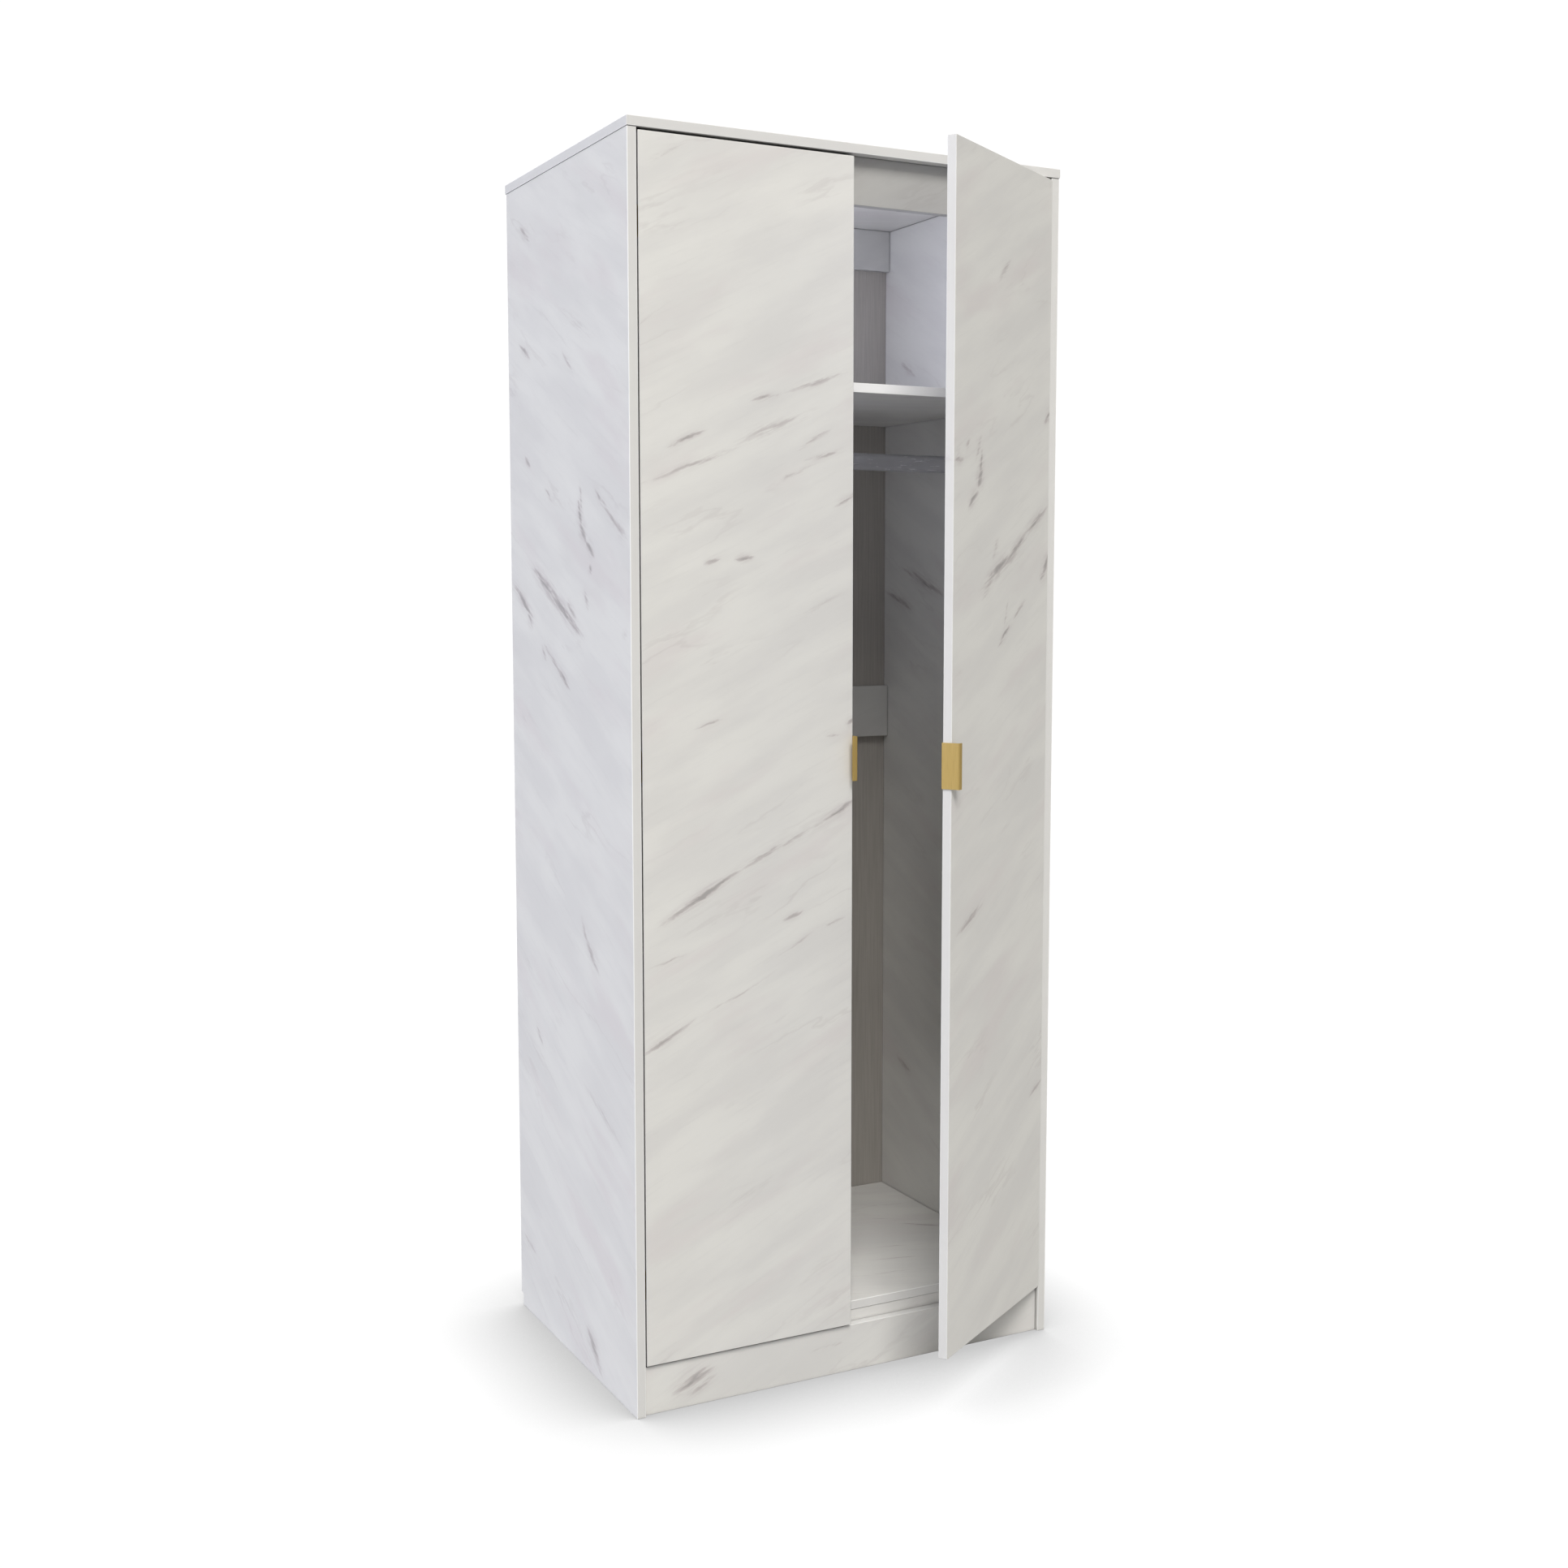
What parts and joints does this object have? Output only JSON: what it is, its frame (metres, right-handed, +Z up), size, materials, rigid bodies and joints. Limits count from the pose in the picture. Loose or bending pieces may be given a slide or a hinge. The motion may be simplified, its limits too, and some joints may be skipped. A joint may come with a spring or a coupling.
{
  "type": "two-door wardrobe",
  "caption": "Tall two-door wardrobe in marble-effect laminated board, with an upper shelf, an oval hanging rail and folded gold edge pulls; both doors swing on hidden hinges.",
  "frame": {"origin": "on the floor, in the middle of the bottom edge of the plinth, on the wardrobe's middle plane", "axes": "+X to the right seen from in front of the doors, +Y into the wardrobe, +Z up"},
  "size_m": [0.768, 0.7455, 1.97],
  "materials": {
    "marble_laminate": "satin white marble-effect laminate on chipboard",
    "hardboard": "taupe woodgrain-printed hardboard",
    "rail_chrome": "polished",
    "zinc_plate": "zinc-plated",
    "beech_dowel": "raw beech",
    "hinge_brass": "satin",
    "pull_gold": "satin gold",
    "clear_rubber": "translucent soft"
  },
  "bodies": {
    "carcass": {"top_panel": "marble_laminate", "left_side_panel": "marble_laminate", "right_side_panel": "marble_laminate", "floor_panel": "marble_laminate", "shelf": "marble_laminate", "plinth_board": "marble_laminate", "plinth_front_rail": "marble_laminate", "plinth_rear_rail": "marble_laminate", "top_front_rail": "marble_laminate", "top_back_rail": "marble_laminate", "mid_back_rail": "marble_laminate", "upper_back_sheet": "hardboard", "lower_back_sheet": "hardboard", "hanging_rail": "rail_chrome", "left_rail_socket": "rail_chrome", "right_rail_socket": "rail_chrome", "left_socket_screw_upper": "zinc_plate", "left_socket_screw_lower": "zinc_plate", "right_socket_screw_upper": "zinc_plate", "right_socket_screw_lower": "zinc_plate", "shelf_dowel_left_front": "beech_dowel", "shelf_dowel_left_rear": "beech_dowel", "shelf_dowel_right_front": "beech_dowel", "shelf_dowel_right_rear": "beech_dowel", "top_dowel_left_front": "beech_dowel", "top_dowel_left_rear": "beech_dowel", "top_dowel_right_front": "beech_dowel", "top_dowel_right_rear": "beech_dowel", "left_hinge_bottom_side_leaf": "hinge_brass", "left_hinge_middle_side_leaf": "hinge_brass", "left_hinge_top_side_leaf": "hinge_brass", "right_hinge_bottom_side_leaf": "hinge_brass", "right_hinge_middle_side_leaf": "hinge_brass", "right_hinge_top_side_leaf": "hinge_brass"},
    "left_door_leaf": {"left_door": "marble_laminate", "left_handle": "pull_gold", "left_handle_screw_upper": "pull_gold", "left_handle_screw_lower": "pull_gold", "left_hinge_bottom_door_leaf": "hinge_brass", "left_hinge_middle_door_leaf": "hinge_brass", "left_hinge_top_door_leaf": "hinge_brass", "left_door_bumper": "clear_rubber"},
    "left_hinge_links": {"left_hinge_bottom_link": "hinge_brass", "left_hinge_middle_link": "hinge_brass", "left_hinge_top_link": "hinge_brass"},
    "right_door_leaf": {"right_door": "marble_laminate", "right_handle": "pull_gold", "right_handle_screw_upper": "pull_gold", "right_handle_screw_lower": "pull_gold", "right_hinge_bottom_door_leaf": "hinge_brass", "right_hinge_middle_door_leaf": "hinge_brass", "right_hinge_top_door_leaf": "hinge_brass", "right_door_bumper": "clear_rubber"},
    "right_hinge_links": {"right_hinge_bottom_link": "hinge_brass", "right_hinge_middle_link": "hinge_brass", "right_hinge_top_link": "hinge_brass"}
  },
  "joints": [
    {"name": "left_door_hinge", "type": "hinge", "parent": "carcass", "child": "left_door_leaf", "pos_m": [-0.3708, -0.011, 1], "axis": [0, 0, -1], "range_deg": [0, 100]},
    {"name": "right_door_hinge", "type": "hinge", "parent": "carcass", "child": "right_door_leaf", "pos_m": [0.3708, -0.011, 1], "axis": [0, 0, 1], "range_deg": [-31.85, 68.15]},
    {"name": "left_link_turn", "type": "hinge", "parent": "carcass", "child": "left_hinge_links", "pos_m": [-0.3708, -0.011, 1], "axis": [0, 0, -1], "range_deg": [0, 50]},
    {"name": "right_link_turn", "type": "hinge", "parent": "carcass", "child": "right_hinge_links", "pos_m": [0.3708, -0.011, 1], "axis": [0, 0, 1], "range_deg": [-15.93, 34.08]}
  ],
  "couplings": [
    {"joint": "left_link_turn", "follows": "left_door_hinge", "ratio": 0.5},
    {"joint": "right_link_turn", "follows": "right_door_hinge", "ratio": 0.5}
  ]
}
